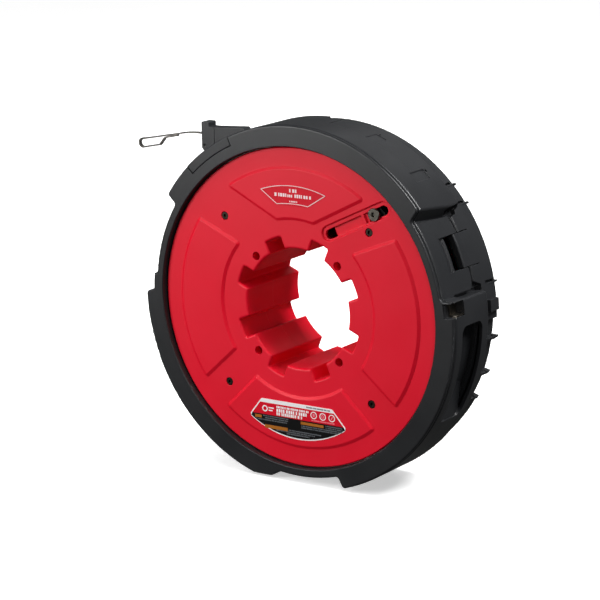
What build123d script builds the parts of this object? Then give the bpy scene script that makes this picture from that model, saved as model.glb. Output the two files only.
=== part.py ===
from build123d import *
from math import atan2, cos, degrees, hypot, pi, radians, sin, sqrt
import os

# Fish tape cartridge: a steel tape on a driven reel that turns inside a ring-shaped housing with a nozzle.
# Millimetres, +Z up. The reel turns about Y and its front faces -Y.
# The origin is on the bore axis, halfway along the splined hub.

# ---- reel
REEL_R = 130.0            # outer radius of both flanges
HUB_LEN = 72.0            # splined hub, face to face
HALF_HUB = HUB_LEN / 2
FLANGE_T = 4.0
FACE_Y = -HALF_HUB        # front face of the front flange
REAR_FACE_Y = 31.0        # rear face of the rear flange
BORE_R = 49.0
NOTCH_R = 59.0            # bottom of the drive notches
NOTCH_W = 15.4
NOTCHES = 8
HUB_R = 63.0
PAD_H = 1.4               # raised sector pads on the flanges
PAD_R0, PAD_R1 = 72.0, 115.0
PAD_BEVEL = 2.3
SKIRT_R0, SKIRT_R1 = 124.4, 126.2    # bearing skirts that run inside the housing lips
SKIRT_LEN = 6.5
DRUM_R0 = 109.2            # inside of the winding drum, which the tape is wound on
HUB_HOLE_PCR = 55.06      # deep screw holes beside the bore
FLANGE_SCREW_PCR = 97.6
POST_R = 5.5

# ---- steel tape, 3.2 x 1.4 mm spring steel, 37 m
TAPE_W, TAPE_T, TAPE_LEN = 3.2, 1.4, 37000.0
COIL_R1 = 126.0
TURNS_ACROSS = 5
COIL_PITCH = TAPE_W + 0.1
COIL_W = TURNS_ACROSS * COIL_PITCH
COIL_R0 = sqrt(COIL_R1 ** 2 - TAPE_W * TAPE_T * TAPE_LEN / (pi * COIL_W))
DRUM_R1 = COIL_R0 - 0.1

# free end, as (x, z) along the middle of the strip
MOUTH_X = -119.0
LEADER_BEND = (-140.8, 124.9)
LOOP_TOP, LOOP_END, LOOP_BOTTOM = (-176.8, 118.2), (-181.3, 114.2), (-177.4, 110.9)
LOOP_HEEL, LOOP_THROAT, FOLD_END = (-159.8, 114.4), (-154.6, 120.6), (-141.0, 123.5)

# ---- tape anchor slot in the front flange, and the screws of the reel
SLOT_START, SLOT_END = (31.6, 63.6), (82.3, 87.4)
SLOT_ANGLE = degrees(atan2(SLOT_END[1] - SLOT_START[1], SLOT_END[0] - SLOT_START[0]))
SLOT_LEN = hypot(SLOT_END[0] - SLOT_START[0], SLOT_END[1] - SLOT_START[1])
SLOT_W = 7.8
SLOT_RECESS = 1.5
SLOT_FLOOR = 3.4          # depth of the channel in the recess
ANCHOR_S = 46.6           # screw's distance along the slot
ANCHOR_HEAD_R = 5.2
ANCHOR_SCREW_R = 2.5
ANCHOR_BLOCK = 12.0
DIAGONALS = (45, 135, 225, 315)
HUB_SCREW_Y, HUB_SCREW_R, HUB_SCREW_LEN = -14.0, 2.1, 28.0
FLANGE_HEAD_Y = FACE_Y + 2.4
FLANGE_SCREW_R, FLANGE_SCREW_LEN = 1.75, 15.0
LABEL_T = 0.25

# ---- housing
RIM_IN = 131.0            # opening that each flange turns in
BASE_R = 137.7            # outside of the ring at the front, between the blocks
BACK_R = 143.4            # outside of the ring at the rear
BLOCK_R = 148.0           # outside of the raised blocks
BLOCK_ROOT = 135.5
FOOT_Z = -141.0           # flats under the two feet
BEZEL_Y = -41.0           # front of the bezel
BEZEL_T = 2.1
BEZEL_CORNER = 3.0
BODY_Y = -37.0            # front of the shell, behind the shadow groove
COLLAR_STEP = 4.0         # depth of the shadow groove
SEAM_Y = 4.8              # joint between the front and rear shells
SEAM_HALF, SEAM_D = 0.9, 1.7      # groove along the joint: half its width, and its depth
BACK_Y = 33.0
BLOCK_ENDS = (16.5, 14.0, 12.0)   # rear end of each raised block
CAVITY_R = 133.6
LIP_R = 126.5
LIP_T = 3.0
FRONT_LIP_Y = -30.0       # front face of the front lip
REAR_LIP_Y = 25.0         # rear face of the rear lip
GLIDE_T = 1.8
# blocks: angle where each end leaves the ring, then its outer corners, then the other end
TOP_BLOCK = (36.4, 38.1, 146.2, 147.2)
LEFT_BLOCK = (178.2, 180.4, 257.4, 264.2)
RIGHT_BLOCK = (286.0, 287.0, 368.8, 369.8)
BLOCKS = (TOP_BLOCK, LEFT_BLOCK, RIGHT_BLOCK)
CATCH = (173.2, 173.9, 179.6, 179.6)
SCREW_PCR = 137.0
SCREW_ANGLES = (3, 45, 76, 106, 152, 190, 222, 250, 294, 319)
# pockets that make the blocks hollow, between the screws and the nozzle
HOLLOWS = ((50, 71), (81, 101), (195, 217), (227, 245), (299, 314), (324, 359))
GRIP = (-32.0, 0.5)       # angles of the hand grip opening
GRIP_Y = (-28.0, 1.8)
LATCH = (17.0, 28.5)      # angles of the side latch
RIB_ANGLES = (43.5, 36.4, 10.0, -8.0, -20.3, -30.3, 205, 236)

WINDOW_Y = (-10.4, -0.6)  # latch window, and the front of the bar behind it
TAB_Y = -2.4              # front of the latch tab
TAB_R = (138.4, 141.2)
HOOK_T = 1.5
LATCH_FLOOR_R = 136.6
HOLLOW_R = (137.0, 145.2)
GRIP_CORNER = 6.5
POCKET = (4.0, 8.6)       # angles of the pocket in the upper front corner of the right block
POCKET_R = (139.4, 153.0)
POCKET_BACK_Y = -24.0
SEAM_GAP = 0.1
SCALLOP_R = 139.5
SCALLOPS = ((-7.4, -1.5), (-19.7, -8.6), (-29.7, -20.9))
RIB_Y0, RIB_Y1, RIB_T = 19.0, 37.5, 1.3
LUG_Y1 = 31.5
EAR_Y = (16.8, 20.0)
OVERLAP_GAP = 0.3
TOP_END_SKEW = 2.2        # angle that the top block's lower end drops by, from front to rear
END_GROOVE = 2.4          # width of the gap below each end of the recessed panel
END_GROOVE_R = 136.2
PANEL_R = 137.8           # bottom of the cuts at the panel's rear corners
# rear corners of the panel, as (depth, angle) outlines
PANEL_CORNERS = (((-1.5, 36.2), (3.9, 33.6), (5.7, 33.6), (14.0, 34.6), (14.0, 36.6)),
                 ((-1.0, 9.4), (3.9, 12.2), (5.7, 12.2), (14.0, 10.7), (14.0, 9.4)))
MOULD_MARKS = ((46.7, 50.9, -16.0, 3.5), (65.4, 70.2, -12.0, 4.5))
TOP_RECESS = (51.2, 83.5, -11.5)  # shallow recess on the top block: its angles and its front edge
HOLLOW_Y = (-33.0, 9.0)
HEAD_R, HEAD_T = 3.9, 2.4
SCREW_R, SCREW_CLEAR_R = 2.0, 2.3
PILOT_R, PILOT_LEN = 2.02, 14.0
NOZZLE_SCREWS = (119.0, 129.0)
NOZZLE_SCREW_PCR = 143.9

# ---- nozzle, at the top left, level with the top of the coil
TAPE_Z = 127.4
NOZZLE = (114.2, 133.6)   # angles of the block segment that carries it
NOZZLE_ROOT = 139.8
NECK_D = 10.0             # thickness of the neck, front to back
NECK_Z0, NECK_Z1 = 117.5, 134.0
TIP_X0, TIP_X1, TIP_SEAM_X = -113.2, -105.6, -100.2
TIP_Z0, TIP_Z1 = 113.6, 137.8
SLIT = 5.2                # square tape passage
INSERT_W = 7.6
PIN_X, PIN_Z, PIN_R = -110.3, 118.2, 1.2


def front_plane(y):
    """Sketch plane at depth y, seen from the front: x is X, y is Z, and depth is extruded with a minus."""
    return Plane(origin=(0, y, 0), x_dir=(1, 0, 0), z_dir=(0, -1, 0))


def polar(radius, angle):
    """A point at a radius and an angle from +X towards +Z."""
    return (radius * cos(radians(angle)), radius * sin(radians(angle)))


def at(radius, angle, y):
    """The same point in space, at depth y."""
    x, z = polar(radius, angle)
    return (x, y, z)


def sector(r_in, r_out, ends):
    """A ring sector, where ends holds its four corner angles: inner, outer, outer, inner."""
    start_in, start_out, end_out, end_in = ends
    with BuildLine() as border:
        Line(polar(r_in, start_in), polar(r_out, start_out))
        CenterArc((0, 0), r_out, start_out, end_out - start_out)
        Line(polar(r_out, end_out), polar(r_in, end_in))
        CenterArc((0, 0), r_in, start_in, end_in - start_in)
    make_face(border.edges())


def straight(angles):
    """Corner angles of a sector with radial ends."""
    return (angles[0], angles[0], angles[1], angles[1])


def inset(ends, amount, radius=BLOCK_R):
    """The same corners, moved in from both ends by a distance."""
    turn = degrees(amount / radius)
    return (ends[0] + turn, ends[1] + turn, ends[2] - turn, ends[3] - turn)


def revolved(points, mode=Mode.ADD, soft=None, radius=1.0):
    """A solid of revolution about Y from (radius, depth) points, with one soft corner if it is named."""
    with BuildSketch(Plane.XY) as profile:
        with BuildLine():
            Polyline(*points, close=True)
        make_face()
        if soft:
            fillet(profile.vertices().sort_by_distance(soft)[0], radius=radius)
    revolve(profile.sketch, axis=Axis.Y, mode=mode)


def outer_arcs(solid, y, radius):
    """The edges of a solid that lie at a depth and at a radius."""
    level = [e for e in solid.edges() if abs((e @ 0.5).Y - y) < 0.01]
    return [e for e in level if abs(hypot((e @ 0.5).X, (e @ 0.5).Z) - radius) < 0.5]


def save(part, name):
    part.label = name
    export_step(part, f"parts/{name}.step")


os.makedirs("parts", exist_ok=True)

# ======================================================================= housing

def base_radius(y):
    """Outside radius of the ring between the blocks: it widens towards the rear."""
    return BASE_R + (BACK_R - BASE_R) * (y - BODY_Y) / (BACK_Y - BODY_Y)


def end_plane():
    """The top block's lower end, which drops towards the rear. Its normal points away from the block."""
    corner = Vector(*at(BLOCK_R, TOP_BLOCK[1], BODY_Y))
    root = Vector(*at(BLOCK_ROOT, TOP_BLOCK[0], BODY_Y))
    rear = Vector(*at(BLOCK_R, TOP_BLOCK[1] - TOP_END_SKEW, BLOCK_ENDS[0]))
    return Plane(origin=corner, x_dir=rear - corner, z_dir=(root - corner).cross(rear - corner))


def cut_panel_ends(front_y):
    """Gaps between the recessed panel and the blocks beside it, and the cut rear corners of the panel."""
    with Locations(end_plane().location * Location((26, -(BLOCK_R - END_GROOVE_R) / 2, END_GROOVE / 2))):
        Box(49, BLOCK_R - END_GROOVE_R, END_GROOVE, mode=Mode.SUBTRACT)
    with BuildSketch(front_plane(front_y)) as gap:
        sector(END_GROOVE_R, BLOCK_R + 2, straight((RIGHT_BLOCK[2] - 360, RIGHT_BLOCK[3] - 359.8)))
    extrude(gap.sketch, amount=front_y - BLOCK_ENDS[1], mode=Mode.SUBTRACT)
    for corner in PANEL_CORNERS:
        middle = corner[1][1]
        outline = [(y, radians(angle - middle) * BACK_R) for y, angle in corner]
        tangent = Plane(origin=at(BLOCK_R, middle, 0), x_dir=(0, 1, 0), z_dir=at(1, middle, 0))
        with BuildSketch(tangent) as cut:
            with BuildLine() as border:
                Polyline(*outline, close=True)
            make_face(border.edges())
        extrude(cut.sketch, amount=PANEL_R - BLOCK_R, mode=Mode.SUBTRACT)


def cut_outside(y0, y1):
    """Trim the feet to their flats and open the nozzle's place in the rim, between two depths."""
    with BuildSketch(front_plane(y0)) as waste:
        sector(NOZZLE_ROOT, BLOCK_R + 5, straight(NOZZLE))
        with Locations((0, FOOT_Z - 10)):
            Rectangle(200, 20)
    extrude(waste.sketch, amount=y0 - y1, mode=Mode.SUBTRACT)


with BuildPart() as front_bezel:
    with BuildSketch(front_plane(BEZEL_Y)) as outline:
        Circle(BASE_R)
        for block in BLOCKS:
            sector(BLOCK_ROOT, BLOCK_R, block)
        fillet(outline.vertices(), radius=BEZEL_CORNER)
        sector(BLOCK_ROOT, BASE_R + 2.8, CATCH)
        Circle(RIM_IN, mode=Mode.SUBTRACT)
    extrude(amount=-BEZEL_T)
    front_edges = front_bezel.edges().group_by(Axis.Y)[0]
    fillet([e for e in front_edges if hypot((e @ 0.5).X, (e @ 0.5).Z) > RIM_IN + 1], radius=1.4)
    chamfer(outer_arcs(front_bezel, BEZEL_Y, RIM_IN), length=0.6)
    cut_outside(BEZEL_Y, BEZEL_Y + BEZEL_T)
    with BuildSketch(front_plane(BEZEL_Y)):
        sector(*POCKET_R, straight(POCKET))
    extrude(amount=-BEZEL_T, mode=Mode.SUBTRACT)
save(front_bezel.part, "front_bezel")

COLLAR_Y = BEZEL_Y + BEZEL_T
with BuildPart() as front_shell:
    revolved([
        (RIM_IN, COLLAR_Y), (BASE_R - 2.2, COLLAR_Y), (BASE_R - 2.2, BODY_Y), (BASE_R, BODY_Y),
        (base_radius(SEAM_Y - 2), SEAM_Y - 2), (base_radius(SEAM_Y) - 0.9, SEAM_Y - SEAM_HALF),
        (base_radius(SEAM_Y) - SEAM_D, SEAM_Y - SEAM_HALF), (base_radius(SEAM_Y) - SEAM_D, SEAM_Y),
        (CAVITY_R, SEAM_Y), (CAVITY_R, FRONT_LIP_Y + LIP_T), (LIP_R, FRONT_LIP_Y + LIP_T),
        (LIP_R, FRONT_LIP_Y), (RIM_IN, FRONT_LIP_Y)], soft=(BASE_R, BODY_Y), radius=2.0)
    # raised blocks, which reach back over the front edge of the rear shell
    for block, end_y in zip(BLOCKS, BLOCK_ENDS):
        with BuildSketch(front_plane(BODY_Y)):
            if block is TOP_BLOCK:
                sector(BLOCK_ROOT, BLOCK_R, (block[0] - 3, block[1] - 3, block[2], block[3]))
            else:
                sector(BLOCK_ROOT, BLOCK_R, block)
        bar = extrude(amount=BODY_Y - end_y, mode=Mode.PRIVATE).solid()
        if block is TOP_BLOCK:
            bar = bar.split(end_plane(), keep=Keep.BOTTOM).solid()
        bar = bar.fillet(3.6, bar.edges().group_by(Axis.Y)[-1].filter_by(GeomType.LINE))
        add(bar.fillet(2.2, outer_arcs(bar, BODY_Y, BLOCK_R) + outer_arcs(bar, end_y, BLOCK_R)))
    revolved([(BLOCK_ROOT - 4, SEAM_Y), (base_radius(SEAM_Y) + OVERLAP_GAP, SEAM_Y),
              (base_radius(BACK_Y) + OVERLAP_GAP, BACK_Y), (BLOCK_ROOT - 4, BACK_Y)], Mode.SUBTRACT)
    with BuildSketch(front_plane(BODY_Y)):
        sector(BLOCK_ROOT, BASE_R + 3.4, CATCH)
    extrude(amount=BODY_Y - SEAM_Y)
    # collar that carries the bezel
    with BuildSketch(front_plane(COLLAR_Y)):
        for block in BLOCKS:
            sector(BLOCK_ROOT - 1, BLOCK_R - COLLAR_STEP, inset(block, COLLAR_STEP))
    extrude(amount=COLLAR_Y - BODY_Y)
    cut_outside(COLLAR_Y, BACK_Y)
    # hollow blocks, open towards the rear shell
    with BuildSketch(front_plane(HOLLOW_Y[0])):
        for hollow in HOLLOWS:
            sector(HOLLOW_R[0], HOLLOW_R[1], straight(hollow))
    extrude(amount=HOLLOW_Y[0] - HOLLOW_Y[1], mode=Mode.SUBTRACT)
    # hand grip: an opening through the skin of the right block, with rounded corners
    with BuildSketch(front_plane(GRIP_Y[0])):
        sector(HOLLOW_R[0], BLOCK_R + 3, straight(GRIP))
    opening = extrude(amount=GRIP_Y[0] - GRIP_Y[1], mode=Mode.PRIVATE)
    corners = opening.edges().filter_by(GeomType.LINE).filter_by(Axis.Y, reverse=True)
    add(opening.fillet(GRIP_CORNER, corners), mode=Mode.SUBTRACT)
    # ramp that closes the lower end of the grip
    with BuildSketch(front_plane(GRIP_Y[0])):
        with BuildLine():
            Polyline(polar(HOLLOW_R[0] - 1, -20), polar(BLOCK_R - 0.1, GRIP[0] - 0.8),
                     polar(HOLLOW_R[0] - 1, GRIP[0] - 3), close=True)
        make_face()
    extrude(amount=GRIP_Y[0] - GRIP_Y[1] - 0.5)
    # pocket at the upper front corner of the right block
    with BuildSketch(front_plane(COLLAR_Y)):
        sector(*POCKET_R, straight(POCKET))
    extrude(amount=COLLAR_Y - POCKET_BACK_Y, mode=Mode.SUBTRACT)
    # side latch: a scooped thumb relief with a lip, a window, and a bar that the rear shell's tab hooks over
    with BuildSketch(Plane.XY):
        with BuildLine():
            Spline((LATCH_FLOOR_R + 2.8, -25), (LATCH_FLOOR_R + 1.9, -19), (LATCH_FLOOR_R - 0.6, -14.2))
            Polyline((LATCH_FLOOR_R - 0.6, -14.2), (LATCH_FLOOR_R + 0.5, -13.4),
                     (LATCH_FLOOR_R + 0.9, -12.2), (LATCH_FLOOR_R + 0.5, -11.0),
                     (LATCH_FLOOR_R - 0.6, WINDOW_Y[0]), (BASE_R + 8, WINDOW_Y[0]),
                     (BASE_R + 8, -25), (LATCH_FLOOR_R + 2.8, -25))
        make_face()
    thumb = revolve(axis=Axis.Y, revolution_arc=-(LATCH[1] - LATCH[0]), mode=Mode.PRIVATE)
    add(thumb.rotate(Axis.Y, -LATCH[0]), mode=Mode.SUBTRACT)
    with BuildSketch(front_plane(WINDOW_Y[0])):
        sector(CAVITY_R - 2, BLOCK_R, straight(LATCH))
    extrude(amount=WINDOW_Y[0] - WINDOW_Y[1], mode=Mode.SUBTRACT)
    with BuildSketch(front_plane(WINDOW_Y[1])):
        sector(TAB_R[0], BLOCK_R, straight(LATCH))
    extrude(amount=WINDOW_Y[1] - SEAM_Y, mode=Mode.SUBTRACT)
    # gaps beside the recessed panel
    cut_panel_ends(-22)
    # the top block ends earlier on the left, behind a notch, and carries a shallow recess and two mould marks
    for ends, rear_y in (((83.5, 89), 7.0), ((89, 150), 12.5)):
        with BuildSketch(front_plane(rear_y)):
            sector(BACK_R, BLOCK_R + 1, straight(ends))
        extrude(amount=rear_y - BACK_Y, mode=Mode.SUBTRACT)
    with BuildSketch(front_plane(TOP_RECESS[2])):
        sector(BLOCK_R - 0.4, BLOCK_R + 1, straight(TOP_RECESS[:2]))
    extrude(amount=TOP_RECESS[2] - BACK_Y, mode=Mode.SUBTRACT)
    for start, end, y0, y1 in MOULD_MARKS:
        with BuildSketch(front_plane(y0)):
            sector(BLOCK_R - 0.9, BLOCK_R + 1, (start + 0.4, start, end, end - 0.4))
        extrude(amount=y0 - y1, mode=Mode.SUBTRACT)
        with Locations(Plane(at(BLOCK_R, end - 1.1, y1 + 2), z_dir=at(1, end - 1.1, 0))):
            Cylinder(1.2, 4, mode=Mode.SUBTRACT)
    # slot for the tape on its way to the nozzle
    with Locations((-60, 0, TAPE_Z)):
        Box(50, SLIT + 1, SLIT + 1, mode=Mode.SUBTRACT)
    # pilot holes for the housing screws
    with Locations([Plane(at(SCREW_PCR, angle, SEAM_Y), z_dir=(0, 1, 0)) for angle in SCREW_ANGLES]):
        Hole(radius=PILOT_R, depth=PILOT_LEN)
save(front_shell.part, "front_shell")

with BuildPart() as rear_shell:
    revolved([
        (CAVITY_R, SEAM_Y + SEAM_GAP), (base_radius(SEAM_Y) - SEAM_D, SEAM_Y + SEAM_GAP),
        (base_radius(SEAM_Y) - SEAM_D, SEAM_Y + SEAM_HALF), (base_radius(SEAM_Y) - 0.9, SEAM_Y + SEAM_HALF),
        (base_radius(SEAM_Y + 2), SEAM_Y + 2), (BACK_R, BACK_Y - 1),
        (BACK_R - 1, BACK_Y), (RIM_IN, BACK_Y), (RIM_IN, REAR_LIP_Y), (LIP_R, REAR_LIP_Y),
        (LIP_R, REAR_LIP_Y - LIP_T), (CAVITY_R, REAR_LIP_Y - LIP_T)])
    # the ring is scalloped at the lower right, between the ribs
    with BuildSketch(front_plane(RIB_Y0)):
        for scallop in SCALLOPS:
            sector(SCALLOP_R, BLOCK_R, straight(scallop))
    extrude(amount=RIB_Y0 - BACK_Y, mode=Mode.SUBTRACT)
    # ribs and the squared lug on the rear edge
    for angle in RIB_ANGLES:
        with BuildSketch(front_plane(RIB_Y0 + 1)):
            sector(SCALLOP_R + 1, BLOCK_R, straight((angle + 0.25, angle + 1.1)))
        extrude(amount=-10, mode=Mode.SUBTRACT)
        with BuildSketch(Plane.XY.rotated((0, -angle, 0))):
            with BuildLine():
                Polyline((SCALLOP_R - 3, RIB_Y0), (BACK_R - 1.2, RIB_Y0), (BACK_R + 0.6, RIB_Y1 - 4),
                         (BACK_R - 0.6, RIB_Y1), (SCALLOP_R - 3, RIB_Y1 - 2.4), close=True)
            make_face()
        extrude(amount=RIB_T / 2, both=True)
    with BuildSketch(front_plane(RIB_Y0)):
        sector(SCALLOP_R, BACK_R + 2.4, straight((1.2, 5.0)))
    extrude(amount=RIB_Y0 - LUG_Y1)
    # ear behind the nozzle's segment, for its screws
    with BuildSketch(front_plane(EAR_Y[0])):
        sector(BLOCK_ROOT + 3, BLOCK_R - 0.5, straight((NOZZLE[0] + 0.8, NOZZLE[1] - 0.8)))
    extrude(amount=EAR_Y[0] - EAR_Y[1])
    # tab of the side latch: slit at both sides, with a hook in front of the bar
    cut_panel_ends(SEAM_Y)
    with BuildSketch(front_plane(SEAM_Y)):
        sector(TAB_R[0], BLOCK_R, straight((LATCH[0], LATCH[0] + 0.2)))
        sector(TAB_R[0], BLOCK_R, straight((LATCH[1] - 0.2, LATCH[1])))
    extrude(amount=-13, mode=Mode.SUBTRACT)
    with BuildSketch(front_plane(TAB_Y)):
        sector(TAB_R[0] + 0.2, TAB_R[1], straight((LATCH[0] + 0.2, LATCH[1] - 0.2)))
    tab = extrude(amount=TAB_Y - SEAM_Y - 2.4, mode=Mode.PRIVATE).solid()
    add(tab.fillet(1.6, outer_arcs(tab, TAB_Y, TAB_R[1])))
    with BuildSketch(front_plane(TAB_Y)):
        sector(TAB_R[0] - 2.4, TAB_R[0] + 0.3, straight((LATCH[0] + 0.2, LATCH[1] - 0.2)))
    extrude(amount=-HOOK_T)
    # housing screws go in from the rear, with their heads sunk
    with Locations([Plane(at(SCREW_PCR, angle, BACK_Y), z_dir=(0, 1, 0)) for angle in SCREW_ANGLES]):
        CounterBoreHole(radius=SCREW_CLEAR_R, counter_bore_radius=HEAD_R + 0.3,
                        counter_bore_depth=HEAD_T + 0.6)
    with Locations([Plane(at(NOZZLE_SCREW_PCR, angle, BACK_Y), z_dir=(0, 1, 0)) for angle in NOZZLE_SCREWS]):
        CounterBoreHole(radius=SCREW_CLEAR_R, counter_bore_radius=HEAD_R + 0.4,
                        counter_bore_depth=BACK_Y - EAR_Y[1], depth=BACK_Y - SEAM_Y)
save(rear_shell.part, "rear_shell")

with BuildPart() as front_glide_ring:
    revolved([(LIP_R + 0.8, FRONT_LIP_Y - GLIDE_T), (RIM_IN, FRONT_LIP_Y - GLIDE_T), (RIM_IN, FRONT_LIP_Y),
              (LIP_R + 0.8, FRONT_LIP_Y)])
save(front_glide_ring.part, "front_glide_ring")

with BuildPart() as rear_glide_ring:
    revolved([(LIP_R + 0.8, REAR_LIP_Y), (RIM_IN, REAR_LIP_Y), (RIM_IN, REAR_LIP_Y + GLIDE_T),
              (LIP_R + 0.8, REAR_LIP_Y + GLIDE_T)])
save(rear_glide_ring.part, "rear_glide_ring")

# pan head screws through the rear shell into the front shell
with BuildPart() as housing_screws:
    head_y = BACK_Y - HEAD_T - 0.6
    for angle in SCREW_ANGLES:
        with Locations(Plane(at(SCREW_PCR, angle, head_y), z_dir=(0, 1, 0))):
            Cylinder(HEAD_R, HEAD_T, align=(Align.CENTER, Align.CENTER, Align.MIN))
    chamfer(housing_screws.edges().filter_by(GeomType.CIRCLE).group_by(Axis.Y)[-1], length=0.6)
    for angle in SCREW_ANGLES:
        with Locations(Plane(at(SCREW_PCR, angle, head_y), z_dir=(0, 1, 0))):
            Cylinder(SCREW_R, head_y - SEAM_Y + PILOT_LEN - 1, align=(Align.CENTER, Align.CENTER, Align.MAX))
        with Locations(Plane(at(SCREW_PCR, angle, head_y + HEAD_T), z_dir=(0, 1, 0))):
            Box(4.2, 0.9, 2.4, mode=Mode.SUBTRACT)
            Box(0.9, 4.2, 2.4, mode=Mode.SUBTRACT)
save(housing_screws.part, "housing_screws")

# ======================================================================= nozzle

SEGMENT = (NOZZLE[0] + 0.15, NOZZLE[1] - 0.15)
NOZZLE_BACK_Y = EAR_Y[0]
with BuildPart() as nozzle_guide:
    with BuildSketch(front_plane(BEZEL_Y)) as segment:
        sector(NOZZLE_ROOT + 0.3, BLOCK_R, straight(SEGMENT))
    extrude(amount=BEZEL_Y - NOZZLE_BACK_Y)
    chamfer(nozzle_guide.edges().group_by(Axis.Y)[0], length=0.5)
    revolved([(BLOCK_ROOT - 4, SEAM_Y), (base_radius(SEAM_Y) + OVERLAP_GAP, SEAM_Y),
              (base_radius(BACK_Y) + OVERLAP_GAP, BACK_Y), (BLOCK_ROOT - 4, BACK_Y)], Mode.SUBTRACT)
    # shadow groove, in line with the one around the housing
    with BuildSketch(front_plane(COLLAR_Y)):
        sector(BLOCK_R - COLLAR_STEP, BLOCK_R + 1, straight(NOZZLE))
    extrude(amount=COLLAR_Y - BODY_Y, mode=Mode.SUBTRACT)
    # neck, from the segment out to the tip
    with BuildSketch(front_plane(-NECK_D / 2)):
        with BuildLine():
            Polyline((TIP_SEAM_X, NECK_Z0), (TIP_SEAM_X, NECK_Z1), (-72, NECK_Z1 + 1.5), (-66.5, 129),
                     (-92, 111.5), close=True)
        make_face()
    extrude(amount=-NECK_D)
    with Locations((-85, 0, TAPE_Z)):
        Box(70, SLIT, SLIT, mode=Mode.SUBTRACT)
    with Locations([Plane(at(NOZZLE_SCREW_PCR, angle, NOZZLE_BACK_Y), z_dir=(0, 1, 0))
                    for angle in NOZZLE_SCREWS]):
        Hole(radius=PILOT_R, depth=9)
save(nozzle_guide.part, "nozzle_guide")

with BuildPart() as nozzle_tip:
    with BuildSketch(front_plane(-NECK_D / 2)):
        with BuildLine():
            Polyline((TIP_X0, TIP_Z0 + 2.4), (TIP_X0, TIP_Z1 - 0.8), (TIP_X0 + 0.8, TIP_Z1),
                     (TIP_X1 - 0.8, TIP_Z1), (TIP_X1, TIP_Z1 - 0.8), (TIP_X1, NECK_Z1),
                     (TIP_SEAM_X - 0.2, NECK_Z1), (TIP_SEAM_X - 0.2, NECK_Z0), (TIP_X1, TIP_Z0 + 1),
                     (TIP_X1 - 1, TIP_Z0), (TIP_X0 + 2, TIP_Z0), close=True)
        make_face()
    extrude(amount=-NECK_D)
    with Locations((TIP_X0 + 10, 0, TAPE_Z)):
        Box(24, INSERT_W, INSERT_W, mode=Mode.SUBTRACT)
    with Locations(Plane((PIN_X, -NECK_D / 2, PIN_Z), z_dir=(0, -1, 0))):
        Hole(radius=PIN_R)
save(nozzle_tip.part, "nozzle_tip")

with BuildPart() as nozzle_wear_insert:
    with Locations(((TIP_X0 + TIP_SEAM_X) / 2 - 0.4, 0, TAPE_Z)):
        Box(TIP_SEAM_X - TIP_X0 - 0.2, INSERT_W, INSERT_W)
        Box(40, SLIT, SLIT, mode=Mode.SUBTRACT)
save(nozzle_wear_insert.part, "nozzle_wear_insert")

with BuildPart() as nozzle_pin:
    with Locations(Plane((PIN_X, 0, PIN_Z), z_dir=(0, 1, 0))):
        Cylinder(PIN_R, NECK_D - 2)
        Cylinder(PIN_R / 2, NECK_D, mode=Mode.SUBTRACT)
save(nozzle_pin.part, "nozzle_pin")

with BuildPart() as nozzle_screws:
    for angle in NOZZLE_SCREWS:
        with Locations(Plane(at(NOZZLE_SCREW_PCR, angle, EAR_Y[1]), z_dir=(0, 1, 0))):
            Cylinder(HEAD_R, HEAD_T, align=(Align.CENTER, Align.CENTER, Align.MIN))
            Cylinder(SCREW_R, EAR_Y[1] - NOZZLE_BACK_Y + 8, align=(Align.CENTER, Align.CENTER, Align.MAX))
        with Locations(Plane(at(NOZZLE_SCREW_PCR, angle, EAR_Y[1] + HEAD_T), z_dir=(0, 1, 0))):
            Box(4.2, 0.9, 2.6, mode=Mode.SUBTRACT)
            Box(0.9, 4.2, 2.6, mode=Mode.SUBTRACT)
save(nozzle_screws.part, "nozzle_screws")

# folded steel strike that lines the pocket
with BuildPart() as latch_strike:
    with BuildSketch(front_plane(POCKET_BACK_Y - 10)):
        sector(POCKET_R[0] + 0.1, BLOCK_R - 1.0, straight((POCKET[0] + 0.05, POCKET[0] + 0.55)))
        sector(POCKET_R[0] + 0.1, POCKET_R[0] + 1.2, straight((POCKET[0] + 0.3, POCKET[1] - 0.4)))
    extrude(amount=-9.9)
save(latch_strike.part, "latch_strike")

# ======================================================================= reel

def pad_sketch(pads):
    """Four sector pads: top, left, bottom and right, with ends cut to follow the features between them."""
    sector(PAD_R0, PAD_R1, (76.0, 54.9, 125.1, 104.0))
    sector(PAD_R0, PAD_R1, (138.0, 144.8, 216.9, 213.8))
    sector(PAD_R0, PAD_R1, (235.2, 230.9, 309.1, 304.8))
    sector(PAD_R0, PAD_R1, (-35.0, -36.9, 35.4, 44.2))
    fillet(pads.vertices(), radius=2.6)


def bore_sketch(bore):
    """The splined bore: a circle with square drive notches."""
    Circle(BORE_R)
    with PolarLocations((BORE_R + NOTCH_R) / 2, NOTCHES, start_angle=180 / NOTCHES):
        Rectangle(NOTCH_R - BORE_R + 4, NOTCH_W)
    Circle(NOTCH_R, mode=Mode.INTERSECT)
    fillet(bore.vertices(), radius=1.2)


def bevelled(pad, edges):
    """A pad with its rim sloped, more along the face than across it."""
    face = pad.faces().filter_by(Axis.Y).sort_by_distance(edges[0] @ 0.5)[0]
    return pad.chamfer(PAD_BEVEL, PAD_H - 0.1, edges, face=face)


def mouth_edges(half, y):
    """The edges of the bore where it opens into the face at a depth."""
    level = [e for e in half.edges() if abs((e @ 0.5).Y - y) < 0.01]
    return [e for e in level if hypot((e @ 0.5).X, (e @ 0.5).Z) < NOTCH_R + 0.1]


def along_slot(distance, aside=0.0):
    """A point on the tape anchor slot's line, moved aside towards the rim's top."""
    turn = radians(SLOT_ANGLE)
    return (SLOT_START[0] + distance * cos(turn) - aside * sin(turn),
            SLOT_START[1] + distance * sin(turn) + aside * cos(turn))


def slot_stretch(start, end):
    """The slot's rectangle between two distances along it."""
    with Locations(Location((*along_slot((start + end) / 2), 0), (0, 0, SLOT_ANGLE))):
        Rectangle(end - start, SLOT_W)


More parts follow.
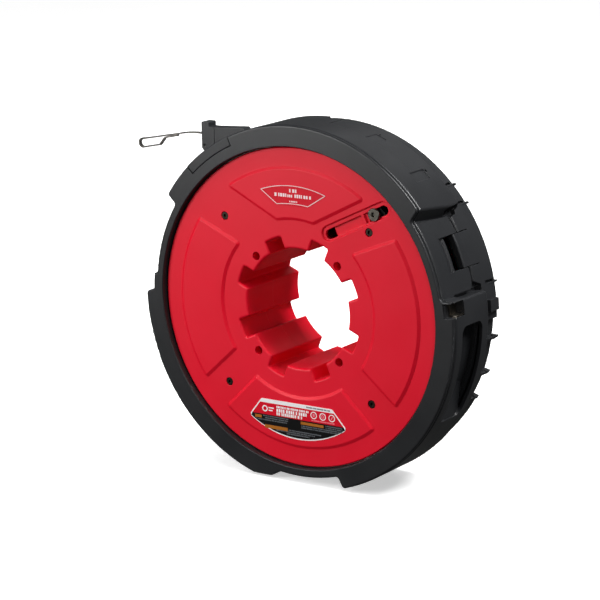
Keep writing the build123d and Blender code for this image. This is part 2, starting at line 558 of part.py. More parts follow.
with BuildPart() as reel_front_half:
    with BuildSketch(front_plane(FACE_Y)):
        Circle(REEL_R)
    extrude(amount=-FLANGE_T)
    chamfer(reel_front_half.edges().group_by(Axis.Y)[0], length=0.8)
    with BuildSketch(front_plane(FACE_Y - PAD_H)) as pads:
        pad_sketch(pads)
    raised = extrude(amount=-PAD_H, mode=Mode.PRIVATE)
    for pad in raised.solids():
        add(bevelled(pad, pad.edges().group_by(Axis.Y)[0]))
    with BuildSketch(front_plane(FACE_Y)):
        Circle(HUB_R)
    extrude(amount=FACE_Y)
    revolved([(SKIRT_R0, FACE_Y + FLANGE_T), (SKIRT_R1, FACE_Y + FLANGE_T),
              (SKIRT_R1, FACE_Y + FLANGE_T + SKIRT_LEN), (SKIRT_R0, FACE_Y + FLANGE_T + SKIRT_LEN)])
    with BuildSketch(front_plane(FACE_Y)) as bore:
        bore_sketch(bore)
    extrude(amount=FACE_Y, mode=Mode.SUBTRACT)
    fillet(mouth_edges(reel_front_half, FACE_Y), radius=1.8)
    # screw holes
    with Locations([Plane(at(HUB_HOLE_PCR, angle, FACE_Y), z_dir=(0, -1, 0)) for angle in DIAGONALS]):
        CounterBoreHole(radius=2.2, counter_bore_radius=3.5, counter_bore_depth=HUB_SCREW_Y - FACE_Y)
    with Locations([Plane(at(FLANGE_SCREW_PCR, angle, FACE_Y), z_dir=(0, -1, 0)) for angle in DIAGONALS]):
        CounterBoreHole(radius=1.9, counter_bore_radius=3.45, counter_bore_depth=FLANGE_HEAD_Y - FACE_Y,
                        depth=FLANGE_T)
    # tape anchor slot: a shallow recess, a channel with a rib across it, and openings at both ends
    with BuildSketch(front_plane(FACE_Y)):
        with Locations(Location((*along_slot(SLOT_LEN / 2, 0.9), 0), (0, 0, SLOT_ANGLE))):
            SlotCenterToCenter(SLOT_LEN, SLOT_W + 4.2)
    extrude(amount=-SLOT_RECESS, mode=Mode.SUBTRACT)
    chamfer(reel_front_half.edges(Select.LAST).group_by(Axis.Y)[0], length=0.7)
    with BuildSketch(front_plane(FACE_Y)):
        with Locations(along_slot(ANCHOR_S)):
            Circle(ANCHOR_HEAD_R + 0.5)
    extrude(amount=-SLOT_RECESS, mode=Mode.SUBTRACT)
    with BuildSketch(front_plane(FACE_Y)):
        with Locations(along_slot(0), along_slot(SLOT_LEN)):
            Circle(SLOT_W / 2)
        slot_stretch(0, 34)
        slot_stretch(36.4, SLOT_LEN)
    extrude(amount=-SLOT_FLOOR, mode=Mode.SUBTRACT)
    with BuildSketch(front_plane(FACE_Y)):
        with Locations(along_slot(0), along_slot(SLOT_LEN)):
            Circle(SLOT_W / 2)
        slot_stretch(0, 5.3)
        slot_stretch(39, SLOT_LEN)
    extrude(amount=-FLANGE_T, mode=Mode.SUBTRACT)
save(reel_front_half.part, "reel_front_half")

with BuildPart() as reel_rear_half:
    with BuildSketch(front_plane(REAR_FACE_Y - FLANGE_T)):
        Circle(REEL_R)
    extrude(amount=-FLANGE_T)
    chamfer(reel_rear_half.edges().group_by(Axis.Y)[-1], length=0.8)
    with BuildSketch(front_plane(REAR_FACE_Y)) as pads:
        pad_sketch(pads)
    raised = extrude(amount=-PAD_H, mode=Mode.PRIVATE)
    for pad in raised.solids():
        add(bevelled(pad, pad.edges().group_by(Axis.Y)[-1]))
    with BuildSketch(front_plane(0)):
        Circle(HUB_R)
    extrude(amount=-HALF_HUB)
    chamfer(reel_rear_half.edges().group_by(Axis.Y)[-1], length=1)
    # posts that the front flange is screwed to
    with BuildSketch(front_plane(FACE_Y + FLANGE_T)):
        with PolarLocations(FLANGE_SCREW_PCR, 4, start_angle=45):
            Circle(POST_R)
    extrude(amount=FACE_Y + FLANGE_T - REAR_FACE_Y + 1)
    revolved([(SKIRT_R0, REAR_FACE_Y - FLANGE_T - SKIRT_LEN), (SKIRT_R1, REAR_FACE_Y - FLANGE_T - SKIRT_LEN),
              (SKIRT_R1, REAR_FACE_Y - FLANGE_T), (SKIRT_R0, REAR_FACE_Y - FLANGE_T)])
    with BuildSketch(front_plane(0)) as bore:
        bore_sketch(bore)
    extrude(amount=-HALF_HUB, mode=Mode.SUBTRACT)
    with Locations([Plane(at(HUB_HOLE_PCR, angle, 0), z_dir=(0, -1, 0)) for angle in DIAGONALS]):
        Hole(radius=HUB_SCREW_R + 0.02, depth=HUB_SCREW_Y + HUB_SCREW_LEN + 1)
    with Locations([Plane(at(FLANGE_SCREW_PCR, angle, FACE_Y + FLANGE_T), z_dir=(0, -1, 0))
                    for angle in DIAGONALS]):
        Hole(radius=FLANGE_SCREW_R + 0.02, depth=FLANGE_SCREW_LEN)
save(reel_rear_half.part, "reel_rear_half")

ANCHOR = along_slot(ANCHOR_S)
ANCHOR_ANGLE = degrees(atan2(ANCHOR[1], ANCHOR[0]))
BLOCK_BOTTOM_Y = -9.4
with BuildPart() as winding_drum:
    revolved([(DRUM_R0, FACE_Y + FLANGE_T), (DRUM_R1, FACE_Y + FLANGE_T), (DRUM_R1, REAR_FACE_Y - FLANGE_T),
              (DRUM_R0, REAR_FACE_Y - FLANGE_T)])
    with Locations(Location((ANCHOR[0], BLOCK_BOTTOM_Y, ANCHOR[1]), (0, -ANCHOR_ANGLE, 0))):
        Box(16, 50, ANCHOR_BLOCK + 0.4, align=(Align.CENTER, Align.MAX, Align.CENTER), mode=Mode.SUBTRACT)
save(winding_drum.part, "winding_drum")

with BuildPart() as tape_anchor_block:
    with Locations(Location((ANCHOR[0], BLOCK_BOTTOM_Y - 0.2, ANCHOR[1]), (0, -ANCHOR_ANGLE, 0))):
        Box(ANCHOR_BLOCK, BLOCK_BOTTOM_Y - 0.2 - FACE_Y - FLANGE_T, ANCHOR_BLOCK,
            align=(Align.CENTER, Align.MAX, Align.CENTER))
    chamfer(tape_anchor_block.edges().filter_by(Axis.Y), length=1)
    with Locations(Plane((ANCHOR[0], FACE_Y + FLANGE_T, ANCHOR[1]), z_dir=(0, -1, 0))):
        Hole(radius=ANCHOR_SCREW_R + 0.02, depth=14)
save(tape_anchor_block.part, "tape_anchor_block")

with BuildPart() as tape_anchor_screw:
    seat_y = FACE_Y + SLOT_RECESS
    with Locations(Plane((ANCHOR[0], seat_y, ANCHOR[1]), z_dir=(0, -1, 0))):
        Cylinder(ANCHOR_HEAD_R, 2.4, align=(Align.CENTER, Align.CENTER, Align.MIN))
        chamfer(tape_anchor_screw.edges().group_by(Axis.Y)[0], length=0.5)
        Cylinder(ANCHOR_SCREW_R, 14, align=(Align.CENTER, Align.CENTER, Align.MAX))
    with BuildSketch(front_plane(seat_y - 2.4)):
        with Locations(ANCHOR):
            RegularPolygon(radius=2.3, side_count=6)
    extrude(amount=-1.7, mode=Mode.SUBTRACT)
save(tape_anchor_screw.part, "tape_anchor_screw")

with BuildPart() as flange_screws:
    for angle in DIAGONALS:
        with Locations(Plane(at(FLANGE_SCREW_PCR, angle, FLANGE_HEAD_Y), z_dir=(0, -1, 0))):
            Cylinder(3.3, 2.0, align=(Align.CENTER, Align.CENTER, Align.MIN))
    chamfer(flange_screws.edges().filter_by(GeomType.CIRCLE).group_by(Axis.Y)[0], length=0.5)
    for angle in DIAGONALS:
        with Locations(Plane(at(FLANGE_SCREW_PCR, angle, FLANGE_HEAD_Y), z_dir=(0, -1, 0))):
            Cylinder(FLANGE_SCREW_R, FLANGE_SCREW_LEN, align=(Align.CENTER, Align.CENTER, Align.MAX))
    with BuildSketch(front_plane(FLANGE_HEAD_Y - 2.0)):
        with PolarLocations(FLANGE_SCREW_PCR, 4, start_angle=45):
            RegularPolygon(radius=1.7, side_count=6)
    extrude(amount=-1.3, mode=Mode.SUBTRACT)
save(flange_screws.part, "flange_screws")

with BuildPart() as hub_screws:
    for angle in DIAGONALS:
        with Locations(Plane(at(HUB_HOLE_PCR, angle, HUB_SCREW_Y), z_dir=(0, -1, 0))):
            Cylinder(3.3, 3.0, align=(Align.CENTER, Align.CENTER, Align.MIN))
            Cylinder(HUB_SCREW_R, HUB_SCREW_LEN, align=(Align.CENTER, Align.CENTER, Align.MAX))
    with BuildSketch(front_plane(HUB_SCREW_Y - 3)):
        with PolarLocations(HUB_HOLE_PCR, 4, start_angle=45):
            RegularPolygon(radius=1.8, side_count=6)
    extrude(amount=-1.6, mode=Mode.SUBTRACT)
save(hub_screws.part, "hub_screws")

# the wound pack of tape: the steel's true volume, with the outer turns showing as ridges
with BuildPart() as tape_coil:
    rim = [(COIL_R0, -COIL_W / 2)]
    for turn in range(TURNS_ACROSS):
        edge_y = -COIL_W / 2 + turn * COIL_PITCH
        rim += [(COIL_R1, edge_y), (COIL_R1, edge_y + TAPE_W - 0.2)]
        rim += [(COIL_R1 - 0.7, edge_y + TAPE_W - 0.2), (COIL_R1 - 0.7, edge_y + COIL_PITCH)]
    rim.append((COIL_R0, COIL_W / 2))
    revolved(rim)
save(tape_coil.part, "tape_coil")

PAD_TOP_Y = FACE_Y - PAD_H
with BuildPart() as upper_label:
    with BuildSketch(front_plane(PAD_TOP_Y)) as fan:
        with BuildLine():
            left, right = (-32.8, 95.0), (30.8, 94.6)
            ThreePointArc(left, (-1.0, 100.2), right)
            Polyline(right, (13.7, 83.6), (-16.9, 83.4), left)
        make_face()
        fillet(fan.vertices(), radius=0.8)
    extrude(amount=LABEL_T)
save(upper_label.part, "upper_label")

with BuildPart() as lower_label:
    with BuildSketch(front_plane(PAD_TOP_Y)) as plate:
        with BuildLine():
            left, right = (-48.5, -93.0), (46.2, -93.0)
            ThreePointArc(left, (-1.2, -108.0), right)
            Polyline(right, (32.5, -78.0), (-36.4, -78.0), left)
        make_face()
        fillet(plate.vertices(), radius=2.5)
    extrude(amount=LABEL_T)
save(lower_label.part, "lower_label")

# ======================================================================= free end of the tape

# The strip runs level from the top of the coil through the nozzle, droops a little, and is folded back on
# itself into a pulling loop.
with BuildPart() as tape_leader:
    with BuildSketch(Plane.XZ):
        with BuildLine() as strand:
            Line((0, TAPE_Z), (MOUTH_X, TAPE_Z))
            TangentArc((MOUTH_X, TAPE_Z), LEADER_BEND, tangent=(-1, 0))
            Line(LEADER_BEND, LOOP_TOP)
            ThreePointArc(LOOP_TOP, LOOP_END, LOOP_BOTTOM)
            Line(LOOP_BOTTOM, LOOP_HEEL)
        trace(strand.edges(), line_width=TAPE_T)
    extrude(amount=TAPE_W / 2, both=True)
    # the folded end rises from the heel of the loop and lies along the underside of the strand
    with BuildSketch(Plane.XZ):
        with BuildLine() as fold:
            Polyline(LOOP_HEEL, LOOP_THROAT, FOLD_END)
        trace(fold.edges(), line_width=TAPE_T)
    extrude(amount=TAPE_W / 2, both=True)
save(tape_leader.part, "tape_leader")
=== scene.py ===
import math
import random

import bmesh
import bpy
from mathutils import Matrix, Vector


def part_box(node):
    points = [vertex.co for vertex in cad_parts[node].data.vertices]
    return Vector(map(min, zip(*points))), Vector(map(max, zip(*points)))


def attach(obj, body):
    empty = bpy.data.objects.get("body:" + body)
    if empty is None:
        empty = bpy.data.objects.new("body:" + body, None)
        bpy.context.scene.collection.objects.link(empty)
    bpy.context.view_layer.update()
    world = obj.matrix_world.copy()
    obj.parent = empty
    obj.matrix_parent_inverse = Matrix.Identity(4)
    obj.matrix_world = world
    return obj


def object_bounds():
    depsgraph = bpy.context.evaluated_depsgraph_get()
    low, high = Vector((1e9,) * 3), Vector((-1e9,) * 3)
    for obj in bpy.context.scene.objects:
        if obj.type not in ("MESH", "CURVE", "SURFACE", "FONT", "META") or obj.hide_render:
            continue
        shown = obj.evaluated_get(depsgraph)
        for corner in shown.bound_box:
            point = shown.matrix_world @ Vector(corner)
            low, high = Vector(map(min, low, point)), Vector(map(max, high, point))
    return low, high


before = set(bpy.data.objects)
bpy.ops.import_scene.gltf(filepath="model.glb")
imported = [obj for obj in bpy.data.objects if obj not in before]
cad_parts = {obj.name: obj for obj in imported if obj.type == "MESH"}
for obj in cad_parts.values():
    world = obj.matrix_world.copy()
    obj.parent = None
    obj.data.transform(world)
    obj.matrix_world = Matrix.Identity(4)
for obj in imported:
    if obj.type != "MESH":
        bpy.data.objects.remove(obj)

CAD_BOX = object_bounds()
MM = 0.001


# ------------------------------------------------------------------ materials

def srgb(red, green, blue):
    """A 0-255 colour as Blender's linear colour."""
    def linear(value):
        value /= 255
        return value / 12.92 if value <= 0.04045 else ((value + 0.055) / 1.055) ** 2.4
    return (linear(red), linear(green), linear(blue), 1.0)


class Surface:
    """A node material around one Principled shader, with the few node chains that this object needs."""

    def __init__(self, name, roughness, metallic=0.0, **sockets):
        self.material = bpy.data.materials.new(name)
        self.material.use_nodes = True
        self.nodes = self.material.node_tree.nodes
        self.links = self.material.node_tree.links
        self.shader = self.nodes["Principled BSDF"]
        self.shader.inputs["Roughness"].default_value = roughness
        self.shader.inputs["Metallic"].default_value = metallic
        for socket, value in sockets.items():
            self.shader.inputs[socket.replace("_", " ")].default_value = value
        self.normal = None

    def coordinates(self, stretch=(1, 1, 1)):
        place = self.nodes.new("ShaderNodeTexCoord")
        mapping = self.nodes.new("ShaderNodeMapping")
        mapping.inputs["Scale"].default_value = stretch
        self.links.new(place.outputs["Object"], mapping.inputs["Vector"])
        return mapping.outputs["Vector"]

    def noise(self, size_mm, detail=2.0, stretch=(1, 1, 1)):
        """Noise whose features are about this many millimetres across."""
        texture = self.nodes.new("ShaderNodeTexNoise")
        texture.inputs["Scale"].default_value = 1000.0 / size_mm
        texture.inputs["Detail"].default_value = detail
        self.links.new(self.coordinates(stretch), texture.inputs["Vector"])
        return texture.outputs["Fac"]

    def ramp(self, factor, stops):
        """Colours over a factor, as (position, colour) pairs."""
        ramp = self.nodes.new("ShaderNodeValToRGB")
        ramp.color_ramp.elements[0].position, ramp.color_ramp.elements[0].color = stops[0]
        ramp.color_ramp.elements[1].position, ramp.color_ramp.elements[1].color = stops[-1]
        for position, colour in stops[1:-1]:
            ramp.color_ramp.elements.new(position).color = colour
        self.links.new(factor, ramp.inputs["Fac"])
        return ramp.outputs["Color"]

    def color(self, socket):
        self.links.new(socket, self.shader.inputs["Base Color"])
        return self

    def roughness(self, factor, low, high):
        spread = self.nodes.new("ShaderNodeMapRange")
        spread.inputs["To Min"].default_value = low
        spread.inputs["To Max"].default_value = high
        self.links.new(factor, spread.inputs["Value"])
        self.links.new(spread.outputs["Result"], self.shader.inputs["Roughness"])
        return self

    def rounded(self, radius_mm):
        """Softens the light on sharp edges, as a moulded edge of this radius does."""
        bevel = self.nodes.new("ShaderNodeBevel")
        bevel.samples = 6
        bevel.inputs["Radius"].default_value = radius_mm * MM
        self.normal = bevel.outputs["Normal"]
        self.links.new(self.normal, self.shader.inputs["Normal"])
        return self

    def bump(self, height, depth_mm):
        bump = self.nodes.new("ShaderNodeBump")
        bump.inputs["Distance"].default_value = depth_mm * MM
        bump.inputs["Strength"].default_value = 1.0
        self.links.new(height, bump.inputs["Height"])
        if self.normal:
            self.links.new(self.normal, bump.inputs["Normal"])
        self.normal = bump.outputs["Normal"]
        self.links.new(self.normal, self.shader.inputs["Normal"])
        return self


def moulded(name, dark, light, roughness, grain_mm, grain_depth_mm, edge_mm, specular=0.35):
    """Moulded plastic: slow colour drift, a spark-eroded grain and slightly rounded edges."""
    surface = Surface(name, roughness, Specular_IOR_Level=specular)
    surface.color(surface.ramp(surface.noise(45, detail=3), [(0.3, dark), (0.7, light)]))
    surface.roughness(surface.noise(30, detail=5), roughness - 0.1, roughness + 0.1)
    surface.rounded(edge_mm)
    return surface.bump(surface.noise(grain_mm), grain_depth_mm)


def steel(name, dark, light, roughness, grain_mm, stretch=(1, 1, 1)):
    """Bright or dark steel with a drawn or turned grain."""
    surface = Surface(name, roughness, metallic=1.0)
    grain = surface.noise(grain_mm, detail=3, stretch=stretch)
    surface.color(surface.ramp(grain, [(0.3, dark), (0.7, light)]))
    surface.roughness(grain, roughness - 0.08, roughness + 0.1)
    surface.rounded(0.12)
    return surface.bump(grain, 0.02)


def printed(name, colour):
    """Printed film, with the ink's slight mottle."""
    surface = Surface(name, 0.4, Specular_IOR_Level=0.2)
    tint = [channel * 0.9 for channel in colour[:3]] + [1.0]
    surface.color(surface.ramp(surface.noise(1.2), [(0.3, tint), (0.7, colour)]))
    return surface.bump(surface.noise(3.0), 0.01)


RED = moulded("red_plastic", srgb(228, 10, 40), srgb(234, 12, 44), 0.42, 0.45, 0.01, 0.6, 0.3)
CHARCOAL = moulded("charcoal_plastic", srgb(32, 33, 35), srgb(38, 39, 41), 0.36, 0.6, 0.015, 0.7, 0.4)
BEZEL = moulded("bezel_plastic", srgb(28, 29, 31), srgb(32, 33, 35), 0.38, 0.5, 0.012, 0.5, 0.45)
BLACK_PLASTIC = moulded("black_plastic", srgb(18, 18, 19), srgb(24, 24, 25), 0.45, 0.5, 0.015, 0.3)
ACETAL = moulded("acetal", srgb(214, 212, 204), srgb(224, 222, 214), 0.35, 0.8, 0.01, 0.2)
SPRING_STEEL = steel("spring_steel", srgb(70, 68, 66), srgb(118, 115, 110), 0.28, 0.25, (0.08, 1, 1))
COIL_STEEL = steel("coil_steel", srgb(96, 92, 86), srgb(140, 136, 130), 0.35, 0.3)
BLACK_STEEL = steel("black_steel", srgb(44, 41, 36), srgb(74, 69, 60), 0.34, 0.4)
PLATED_STEEL = steel("plated_steel", srgb(84, 81, 74), srgb(112, 108, 100), 0.32, 0.35)
STRIKE_STEEL = steel("strike_steel", srgb(104, 98, 90), srgb(140, 132, 122), 0.3, 0.4)
HARD_STEEL = steel("hard_steel", srgb(92, 92, 92), srgb(120, 120, 120), 0.35, 0.3)
RED_PRINT = printed("red_print", srgb(222, 8, 38))
WHITE_PRINT = printed("white_print", srgb(254, 252, 252))
BLACK_PRINT = printed("black_print", srgb(6, 6, 6))
GREY_PRINT = printed("grey_print", srgb(104, 108, 112))
ORANGE_PRINT = printed("orange_print", srgb(176, 106, 34))
PINK_PRINT = printed("pink_print", srgb(250, 132, 146))
PALE_PRINT = printed("pale_print", srgb(255, 232, 234))

FINISHES = {
    "front_bezel": BEZEL, "front_shell": CHARCOAL, "rear_shell": CHARCOAL,
    "nozzle_guide": CHARCOAL, "nozzle_tip": CHARCOAL, "nozzle_wear_insert": HARD_STEEL,
    "nozzle_pin": HARD_STEEL, "nozzle_screws": BLACK_STEEL, "housing_screws": BLACK_STEEL,
    "latch_strike": STRIKE_STEEL,
    "front_glide_ring": ACETAL, "rear_glide_ring": ACETAL,
    "reel_front_half": RED, "reel_rear_half": RED, "winding_drum": BLACK_PLASTIC,
    "tape_anchor_block": HARD_STEEL, "tape_anchor_screw": PLATED_STEEL,
    "flange_screws": BLACK_STEEL, "hub_screws": BLACK_STEEL, "tape_coil": COIL_STEEL,
    "upper_label": RED_PRINT, "lower_label": WHITE_PRINT, "tape_leader": SPRING_STEEL,
}

for node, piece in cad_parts.items():
    piece.data.materials.clear()
    piece.data.materials.append(FINISHES[node].material)


# ------------------------------------------------------------------ label print

PRINT_T = 0.05 * MM


class Ink:
    """Flat printed shapes of one colour on the reel's front, as one thin mesh. Points are (x, z) in mm."""

    def __init__(self, name, surface, y):
        self.name, self.surface, self.y = name, surface, y
        self.mesh = bmesh.new()

    def shape(self, points):
        front = [self.mesh.verts.new((x * MM, self.y - PRINT_T, z * MM)) for x, z in points]
        back = [self.mesh.verts.new((x * MM, self.y, z * MM)) for x, z in points]
        self.mesh.faces.new(front)
        self.mesh.faces.new(back[::-1])
        for i in range(len(points)):
            j = (i + 1) % len(points)
            self.mesh.faces.new((front[j], front[i], back[i], back[j]))

    def bar(self, x0, x1, z0, z1):
        self.shape([(x0, z0), (x1, z0), (x1, z1), (x0, z1)])

    def words(self, x0, x1, z0, z1, seed):
        """A row of plain upright blocks in place of print. No block has a letter's shape."""
        draw = random.Random(seed)
        height = z1 - z0
        x = x0
        while x < x1 - 0.4 * height:
            wide = min(height * draw.uniform(0.45, 0.75), x1 - x)
            self.bar(x, x + wide, z0, z1)
            x += wide + height * (0.22 if draw.random() < 0.8 else 0.6)

    def band(self, centre, overlap, width):
        """A closed line of even width along points, whose pieces overlap by a share of half the width."""
        count = len(centre)
        for i in range(count):
            a, b = Vector(centre[i]), Vector(centre[(i + 1) % count])
            along = (b - a).normalized() * width / 2
            side = Vector((-along.y, along.x))
            a, b = a - along * overlap, b + along * overlap
            self.shape([tuple(a - side), tuple(b - side), tuple(b + side), tuple(a + side)])

    def ring(self, x, z, radius, width, steps=24):
        for i in range(steps):
            t0, t1 = (math.tau * k / steps for k in (i, i + 1))
            inner, outer = radius - width / 2, radius + width / 2
            self.shape([(x + inner * math.cos(t0), z + inner * math.sin(t0)),
                        (x + outer * math.cos(t0), z + outer * math.sin(t0)),
                        (x + outer * math.cos(t1), z + outer * math.sin(t1)),
                        (x + inner * math.cos(t1), z + inner * math.sin(t1))])

    def finish(self):
        data = bpy.data.meshes.new(self.name)
        bmesh.ops.recalc_face_normals(self.mesh, faces=self.mesh.faces)
        self.mesh.to_mesh(data)
        self.mesh.free()
        data.materials.append(self.surface.material)
        piece = bpy.data.objects.new(self.name, data)
        bpy.context.scene.collection.objects.link(piece)
        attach(piece, "reel")


def arc_through(a, b, c, steps):
    """Points along the circle through three points, ends included."""
    (ax, ay), (bx, by), (cx, cy) = a, b, c
    a2, b2, c2 = ax * ax + ay * ay, bx * bx + by * by, cx * cx + cy * cy
    d = 2 * (ax * (by - cy) + bx * (cy - ay) + cx * (ay - by))
    ux = (a2 * (by - cy) + b2 * (cy - ay) + c2 * (ay - by)) / d
    uy = (a2 * (cx - bx) + b2 * (ax - cx) + c2 * (bx - ax)) / d
    radius = math.hypot(ax - ux, ay - uy)
    start = math.atan2(ay - uy, ax - ux)
    turn = (math.atan2(cy - uy, cx - ux) - start + math.pi) % math.tau - math.pi
    angles = [start + turn * k / steps for k in range(steps + 1)]
    return [(ux + radius * math.cos(angle), uy + radius * math.sin(angle)) for angle in angles]


# The film's front face
FILM_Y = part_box("upper_label")[0].y

upper_white = Ink("upper_label_print", PALE_PRINT, FILM_Y)
fan = (arc_through((-31.6, 94.6), (-1.0, 99.6), (29.8, 94.3), 12)
       + arc_through((13.4, 84.3), (-1.6, 85.2), (-16.4, 84.1), 8))
upper_white.band(fan, 0.8, 0.55)
for seed, extent in enumerate([
        (-4.2, 4.4, 94.3, 97.0), (-18.4, -7.0, 90.3, 93.0), (-6.0, -1.2, 90.3, 92.4),
        (0.8, 8.0, 90.3, 93.0), (9.4, 18.2, 90.3, 92.8), (-4.2, 3.6, 86.4, 87.6)], start=1):
    upper_white.words(*extent, seed)
upper_white.finish()

# Lower label's outline, top and bottom of its red band, and the white border
TOP_Z, BAND_Z, SPLIT_Z, SHOULDER_Z = -78.0, -81.2, -91.2, -93.0
LEFT_TOP, RIGHT_TOP = (-36.4, TOP_Z), (32.5, TOP_Z)
LEFT_SIDE, RIGHT_SIDE, BOTTOM = (-48.5, SHOULDER_Z), (46.2, SHOULDER_Z), (-1.2, -108.0)
BORDER = 1.0
SIDE_BORDER = 1.3 * BORDER


def inner_left(z):
    """Point on the inner side of the border at the label's left."""
    slope = (LEFT_SIDE[0] - LEFT_TOP[0]) / (SHOULDER_Z - TOP_Z)
    return (LEFT_TOP[0] + slope * (z - TOP_Z) + SIDE_BORDER, z)


def inner_right(z):
    """Point on the inner side of the border at the label's right."""
    slope = (RIGHT_SIDE[0] - RIGHT_TOP[0]) / (SHOULDER_Z - TOP_Z)
    return (RIGHT_TOP[0] + slope * (z - TOP_Z) - SIDE_BORDER, z)


lower_red = Ink("lower_label_band", RED_PRINT, FILM_Y)
lower_red.shape([inner_left(SPLIT_Z), inner_right(SPLIT_Z), inner_right(BAND_Z), inner_left(BAND_Z)])
lower_red.finish()

lower_black = Ink("lower_label_panel", BLACK_PRINT, FILM_Y)
belly = arc_through((LEFT_SIDE[0] + 1.6, SHOULDER_Z - 0.6), (BOTTOM[0], BOTTOM[1] + BORDER),
                    (RIGHT_SIDE[0] - 1.6, SHOULDER_Z - 0.6), 16)
lower_black.shape([inner_right(SPLIT_Z), inner_left(SPLIT_Z)] + belly)
lower_black.finish()

OVER_Y = FILM_Y - PRINT_T
white = Ink("lower_label_marks", WHITE_PRINT, OVER_Y)
white.words(-21.6, 9.8, -84.3, -82.6, 11)
white.words(-21.6, 10.2, -87.6, -84.9, 12)
white.words(-21.6, 3.4, -90.4, -88.0, 13)
for x in (14.7, 23.4, 32.1):
    white.ring(x, -85.4, 2.7, 0.7)
white.ring(-33.0, -86.2, 2.2, 1.0)
white.bar(-29.4, -24.2, -85.6, -84.6)
white.bar(-29.4, -25.6, -87.8, -86.8)
white.finish()

marks = Ink("lower_label_icons", PINK_PRINT, OVER_Y)
marks.bar(13.7, 15.7, -86.6, -84.2)
marks.ring(23.4, -85.4, 1.1, 0.7)
marks.shape([(30.9, -86.5), (31.7, -87.0), (33.4, -84.4), (32.6, -83.9)])
marks.words(12.6, 35.0, -90.2, -89.2, 14)
marks.finish()

SMALL_PRINT_H = 1.0
grey = Ink("lower_label_text", GREY_PRINT, OVER_Y)
grey.words(7.8, 30.6, -80.2, -79.0, 15)
for seed, (x0, x1, z) in enumerate([
        (-35.0, -10.0, -92.9), (-33.0, -10.5, -94.6), (-42.0, -11.0, -96.3),
        (26.0, 42.0, -93.2), (26.0, 43.0, -94.8), (2.6, 42.0, -96.4), (2.6, 38.0, -98.0),
        (-10.0, 22.0, -101.8), (-22.0, 16.0, -103.4), (-12.0, 10.0, -105.0)], start=20):
    grey.words(x0, x1, z, z + SMALL_PRINT_H, seed)
grey.finish()

orange = Ink("lower_label_boxes", ORANGE_PRINT, OVER_Y)
orange.bar(-43.0, -36.5, -94.6, -92.2)
orange.bar(2.0, 24.0, -94.6, -92.4)
orange.bar(-33.5, -11.0, -102.4, -99.6)
orange.finish()


# ------------------------------------------------------------------ camera, floor and light

AIM = Vector((0.0, -37.26 * MM, 0.0))
AZIMUTH, ELEVATION, ROLL = math.radians(34.903), math.radians(13.572), math.radians(-1.3)
DISTANCE = 1.9522
LENS_MM, SHIFT_X, SHIFT_Y = 147.43, 0.0059, 0.0156

back = Vector((math.sin(AZIMUTH) * math.cos(ELEVATION), -math.cos(AZIMUTH) * math.cos(ELEVATION),
               math.sin(ELEVATION)))
right = Vector((math.cos(AZIMUTH), math.sin(AZIMUTH), 0))
up = back.cross(right)
rolled_right = right * math.cos(ROLL) + up * math.sin(ROLL)
rolled_up = up * math.cos(ROLL) - right * math.sin(ROLL)

camera = bpy.data.objects.new("camera", bpy.data.cameras.new("camera"))
camera.data.sensor_width = 36
camera.data.lens = LENS_MM
camera.data.shift_x, camera.data.shift_y = SHIFT_X, SHIFT_Y
camera.data.clip_start, camera.data.clip_end = 0.05, 60
camera.matrix_world = Matrix.Translation(AIM + back * DISTANCE) @ Matrix(
    (rolled_right, rolled_up, back)).transposed().to_4x4()
bpy.context.scene.collection.objects.link(camera)
bpy.context.scene.camera = camera

FLOOR_SIZE, FLOOR_GLOW = 40.0, 0.5
half = FLOOR_SIZE / 2
floor_z = CAD_BOX[0].z
floor_mesh = bpy.data.meshes.new("floor")
floor_mesh.from_pydata([(-half, -half, floor_z), (half, -half, floor_z), (half, half, floor_z),
                        (-half, half, floor_z)], [], [(0, 1, 2, 3)])
floor = bpy.data.objects.new("floor", floor_mesh)
paper = Surface("floor_paper", 0.9, Specular_IOR_Level=0.1, Emission_Strength=FLOOR_GLOW,
                Emission_Color=(1, 1, 1, 1))
paper.color(paper.ramp(paper.noise(300), [(0.3, (0.88, 0.88, 0.88, 1)), (0.7, (0.9, 0.9, 0.9, 1))]))
floor_mesh.materials.append(paper.material)
floor.visible_diffuse = False
floor.visible_glossy = False
bpy.context.scene.collection.objects.link(floor)

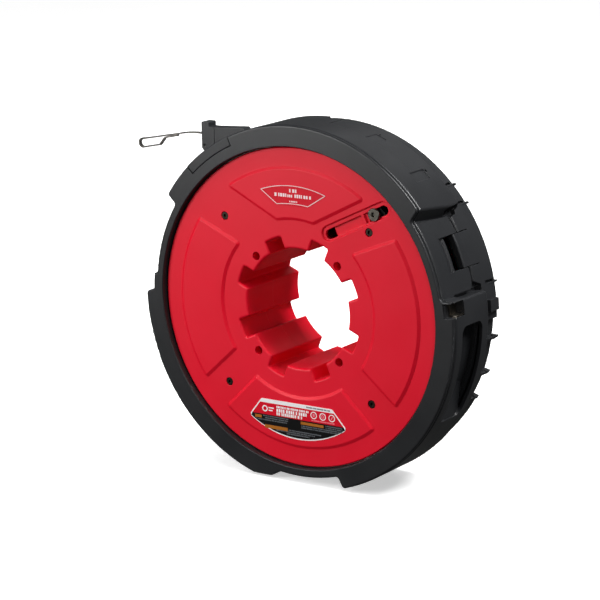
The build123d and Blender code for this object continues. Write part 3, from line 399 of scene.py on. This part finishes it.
# White wall far round the floor, which no light or reflection meets
WALL_R, WALL_H, WALL_STEPS = 19.5, 14.0, 64
wall_ring = [(WALL_R * math.cos(math.tau * k / WALL_STEPS), WALL_R * math.sin(math.tau * k / WALL_STEPS))
             for k in range(WALL_STEPS)]
wall_mesh = bpy.data.meshes.new("backdrop")
wall_mesh.from_pydata([(x, y, z) for z in (floor_z, floor_z + WALL_H) for x, y in wall_ring], [],
                      [(k, (k + 1) % WALL_STEPS, (k + 1) % WALL_STEPS + WALL_STEPS, k + WALL_STEPS)
                       for k in range(WALL_STEPS)])
wall = bpy.data.objects.new("backdrop", wall_mesh)
wall_mesh.materials.append(Surface("backdrop_paper", 0.9, Specular_IOR_Level=0.0, Emission_Strength=1.0,
                                   Emission_Color=(1, 1, 1, 1)).material)
wall.visible_diffuse = False
wall.visible_glossy = False
wall.visible_shadow = False
bpy.context.scene.collection.objects.link(wall)

# Soft boxes aimed at the hub: name, place in metres, width and height, watts, seen in reflections
SOFT_BOXES = [
    ("key", (-0.8, -1.6, 1.0), (0.8, 0.8), 8.8, True),
    ("front", (-0.75, -1.05, 0.3), (0.6, 0.6), 8.8, True),
    ("side", (1.3, 0.1, 1.7), (0.7, 0.7), 62, True),
    ("strip", (0.95, -0.9, 0.5), (0.12, 1.1), 2.5, True),
    ("back", (-0.2, 1.5, 1.2), (1.1, 0.35), 0.8, True),
    ("rear", (-1.6, 1.5, 0.8), (0.8, 0.8), 18, False),
]
SUN_STRENGTH, SUN_SPREAD, SUN_TILT = 1.3, math.radians(50), math.radians(8)
WORLD_STRENGTH = 0.07

for name, place, size, watts, reflected in SOFT_BOXES:
    light = bpy.data.lights.new(name, "AREA")
    light.shape = "RECTANGLE"
    light.size, light.size_y = size
    light.energy = watts
    lamp = bpy.data.objects.new(name, light)
    lamp.visible_glossy = reflected
    lamp.location = place
    lamp.rotation_mode = "QUATERNION"
    lamp.rotation_quaternion = (-Vector(place)).to_track_quat("-Z", "Y")
    bpy.context.scene.collection.objects.link(lamp)

sun = bpy.data.lights.new("overhead", "SUN")
sun.energy = SUN_STRENGTH
sun.angle = SUN_SPREAD
overhead = bpy.data.objects.new("overhead", sun)
overhead.visible_glossy = False
overhead.rotation_euler = (SUN_TILT, -SUN_TILT, 0)
bpy.context.scene.collection.objects.link(overhead)

world = bpy.data.worlds.new("studio")
world.use_nodes = True
world.node_tree.nodes["Background"].inputs["Color"].default_value = (1, 1, 1, 1)
world.node_tree.nodes["Background"].inputs["Strength"].default_value = WORLD_STRENGTH
bpy.context.scene.world = world
bpy.context.scene.view_settings.view_transform = "Standard"
